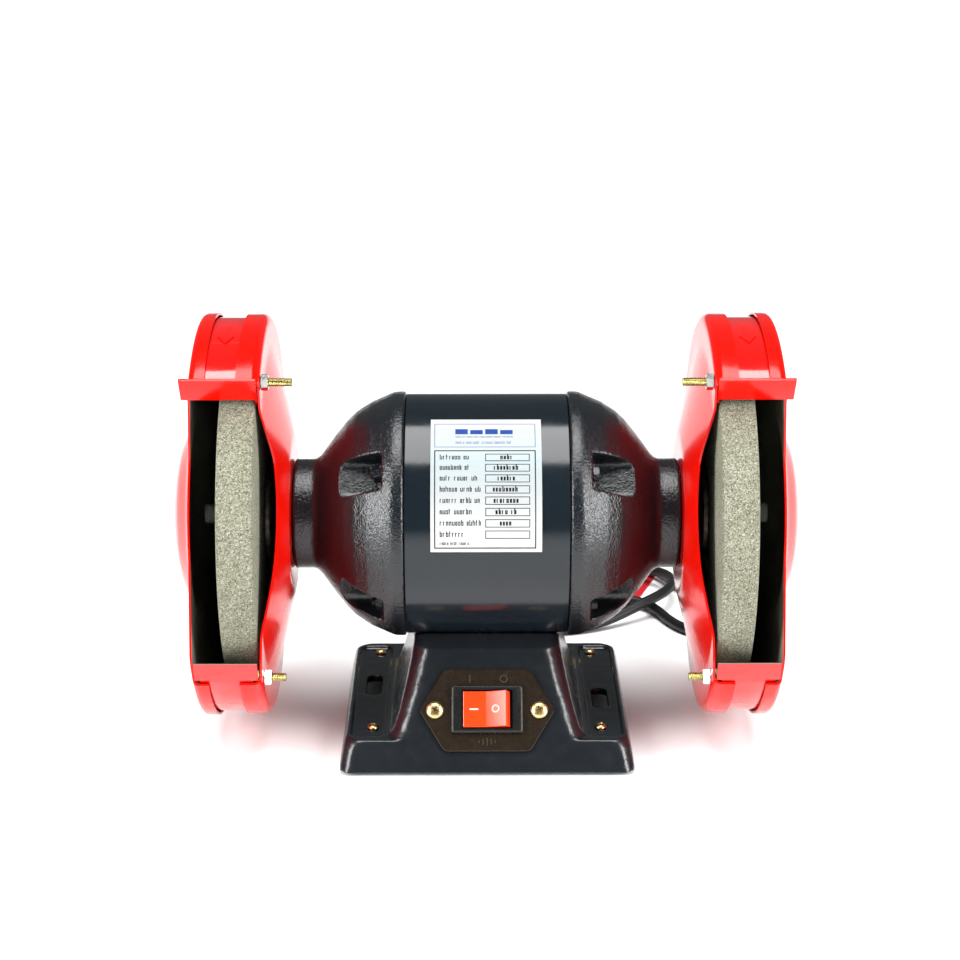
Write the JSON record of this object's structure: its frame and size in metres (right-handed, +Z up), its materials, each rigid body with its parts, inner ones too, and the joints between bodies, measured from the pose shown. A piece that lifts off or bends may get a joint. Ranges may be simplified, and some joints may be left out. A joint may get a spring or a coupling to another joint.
{
  "type": "bench grinder",
  "caption": "Double-ended bench grinder with guarded wheels, spark arrestors, a rocker switch on a cast base, and a coiled mains lead.",
  "frame": {"origin": "on the bench, in the middle of the grinder's box, without its lead", "axes": "+X along the shaft to the right as the user sees it, -Y towards the user, +Z up"},
  "size_m": [0.3742, 0.3911, 0.249],
  "materials": {
    "navy_enamel": "gloss",
    "red_enamel": "gloss",
    "grinding_grit": "rough",
    "bright_steel": "satin",
    "laminated_iron": "satin",
    "flange_steel": "dull",
    "winding_copper": "varnished",
    "yellow_zinc": "yellow zinc",
    "brass": "bright",
    "label_silver": "satin",
    "plate_black": "satin",
    "switch_black": "gloss",
    "rocker_red": "gloss",
    "foot_rubber": "matte",
    "cord_black": "satin",
    "tie_red": "satin",
    "capacitor_white": "matte"
  },
  "bodies": {
    "stand": {"base_casting": "navy_enamel", "base_plate": "bright_steel", "bearing_left": "bright_steel", "bearing_right": "bright_steel", "cable_gland": "cord_black", "cord_coil": "cord_black", "cord_tie": "tie_red", "data_plate": "label_silver", "end_bell_left": "navy_enamel", "end_bell_right": "navy_enamel", "foot_screw_front_left": "brass", "foot_screw_front_right": "brass", "foot_screw_rear_left": "brass", "foot_screw_rear_right": "brass", "guard_band_left": "red_enamel", "guard_band_right": "red_enamel", "guard_bolt_low_left": "yellow_zinc", "guard_bolt_low_right": "yellow_zinc", "guard_bolt_top_left": "yellow_zinc", "guard_bolt_top_right": "yellow_zinc", "guard_cover_left": "red_enamel", "guard_cover_right": "red_enamel", "guard_inner_left": "red_enamel", "guard_inner_right": "red_enamel", "guard_nut_low_left": "bright_steel", "guard_nut_low_right": "bright_steel", "guard_nut_top_left": "bright_steel", "guard_nut_top_right": "bright_steel", "mains_cord": "cord_black", "motor_drum": "navy_enamel", "plug": "cord_black", "rubber_foot_front_left": "foot_rubber", "rubber_foot_front_right": "foot_rubber", "rubber_foot_rear_left": "foot_rubber", "rubber_foot_rear_right": "foot_rubber", "run_capacitor": "capacitor_white", "stator_core": "laminated_iron", "switch_body": "switch_black", "switch_plate": "plate_black", "switch_screw_left": "brass", "switch_screw_right": "brass", "tie_bolt_1": "navy_enamel", "tie_bolt_2": "navy_enamel", "tie_bolt_3": "navy_enamel", "tie_bolt_4": "navy_enamel", "winding_left": "winding_copper", "winding_right": "winding_copper"},
    "rotor": {"grinding_wheel_left": "grinding_grit", "grinding_wheel_right": "grinding_grit", "inner_flange_left": "flange_steel", "inner_flange_right": "flange_steel", "outer_flange_left": "flange_steel", "outer_flange_right": "flange_steel", "rotor_core": "laminated_iron", "shaft": "bright_steel", "wheel_nut_left": "yellow_zinc", "wheel_nut_right": "yellow_zinc"},
    "rocker": {"switch_rocker": "rocker_red"},
    "arrestor_left": {"spark_arrestor_left": "red_enamel"},
    "arrestor_right": {"spark_arrestor_right": "red_enamel"}
  },
  "joints": [
    {"name": "rotor_spin", "type": "hinge", "parent": "stand", "child": "rotor", "pos_m": [0, -0.0085, 0.132], "axis": [1, 0, 0], "continuous": true},
    {"name": "rocker_press", "type": "hinge", "parent": "stand", "child": "rocker", "pos_m": [0, -0.06899, 0.03241], "axis": [0, 0.5446, 0.8387], "range_deg": [0, 20]},
    {"name": "arrestor_left_slide", "type": "slide", "parent": "stand", "child": "arrestor_left", "axis": [0, -0.5736, 0.8192], "range_m": [-0.004, 0]},
    {"name": "arrestor_right_slide", "type": "slide", "parent": "stand", "child": "arrestor_right", "axis": [0, -0.5736, 0.8192], "range_m": [-0.004, 0]}
  ]
}
